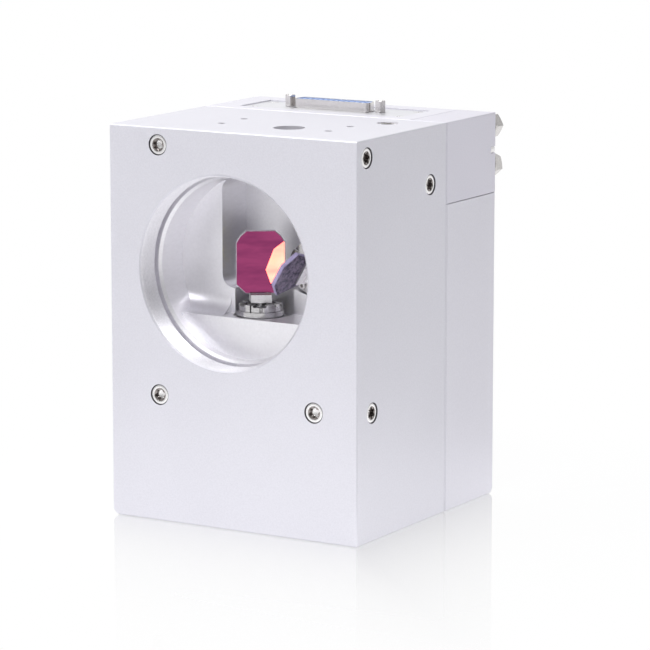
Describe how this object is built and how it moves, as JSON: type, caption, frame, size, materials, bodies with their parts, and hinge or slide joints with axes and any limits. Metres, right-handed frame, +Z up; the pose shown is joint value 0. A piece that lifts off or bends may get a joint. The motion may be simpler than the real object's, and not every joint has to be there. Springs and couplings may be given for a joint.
{
  "type": "galvo scanner head",
  "caption": "Water-cooled two-axis laser scanner head: block housing with a lens thread, a top beam entrance, two mirror galvos, a D-sub socket and two coolant ports.",
  "frame": {"origin": "centre of the base face, halfway between the lens face and the rear face", "axes": "+Z up towards the beam entrance, -Y out of the lens thread, +X towards the coolant manifold's side"},
  "size_m": [0.125, 0.138, 0.1788],
  "materials": {
    "housing_metal": "fine bead-blasted, clear anodised",
    "cover_metal": "fine brushed, clear anodised",
    "plate_metal": "clear anodised sheet",
    "motor_metal": "turned",
    "stainless": "polished stainless",
    "bearing_steel": "ground",
    "nickel": "nickel plate",
    "black_rubber": "matte",
    "contact_block": "moulded",
    "gold_plate": "gold plate",
    "coil_copper": "enamelled wire, potted",
    "magnet_black": "sintered",
    "black_plastic": "moulded",
    "board_green": "solder resist",
    "mirror_gold": "coated optical face",
    "mirror_magenta": "coated optical face"
  },
  "bodies": {
    "housing": {"front_housing": "housing_metal", "lens_ring": "housing_metal", "base_tray": "housing_metal", "front_plugs": "stainless", "right_plugs": "stainless", "top_plug": "stainless", "bottom_plug": "stainless", "plug_seals": "black_rubber", "rear_cover": "cover_metal", "cover_gasket": "black_rubber", "cover_screws": "stainless", "coolant_manifold": "housing_metal", "manifold_screws": "stainless", "manifold_seals": "black_rubber", "port_fittings": "nickel", "port_nuts": "nickel", "port_seals": "black_rubber", "connector_plate": "plate_metal", "plate_screws": "stainless", "dsub_shell": "nickel", "dsub_insulator": "contact_block", "dsub_contacts": "gold_plate", "jackscrews": "nickel", "x_motor_body": "motor_metal", "x_end_bells": "motor_metal", "x_bearings": "bearing_steel", "x_coil": "coil_copper", "x_collar": "motor_metal", "x_collar_screws": "stainless", "x_detector_cap": "black_plastic", "x_detector_board": "board_green", "y_motor_body": "motor_metal", "y_end_bells": "motor_metal", "y_bearings": "bearing_steel", "y_coil": "coil_copper", "y_collar": "motor_metal", "y_collar_screws": "stainless", "y_detector_cap": "black_plastic", "y_detector_board": "board_green", "board_carrier": "plate_metal", "carrier_screws": "stainless", "servo_boards": "board_green", "power_transistors": "black_plastic", "board_sockets": "black_plastic", "board_spacers": "stainless", "board_screws": "stainless", "interface_board": "board_green", "interface_posts": "stainless", "interface_screws": "stainless"},
    "x_rotor": {"x_magnet": "magnet_black", "x_shaft": "bearing_steel", "x_mount": "motor_metal", "x_mount_screw": "stainless", "x_mirror": "mirror_gold", "x_vane": "black_plastic"},
    "y_rotor": {"y_magnet": "magnet_black", "y_shaft": "bearing_steel", "y_mount": "motor_metal", "y_mount_screw": "stainless", "y_mirror": "mirror_magenta", "y_vane": "black_plastic"}
  },
  "joints": [
    {"name": "x_mirror_scan", "type": "hinge", "parent": "housing", "child": "x_rotor", "pos_m": [0.0126, -0.0343, 0.1112], "axis": [0.1736, 0.9848, 0], "range_deg": [-2.9, 27.1]},
    {"name": "y_mirror_scan", "type": "hinge", "parent": "housing", "child": "y_rotor", "pos_m": [-0.0049, -0.0297, 0.1133], "axis": [0, 0, 1], "range_deg": [-10.6, 19.4]}
  ]
}
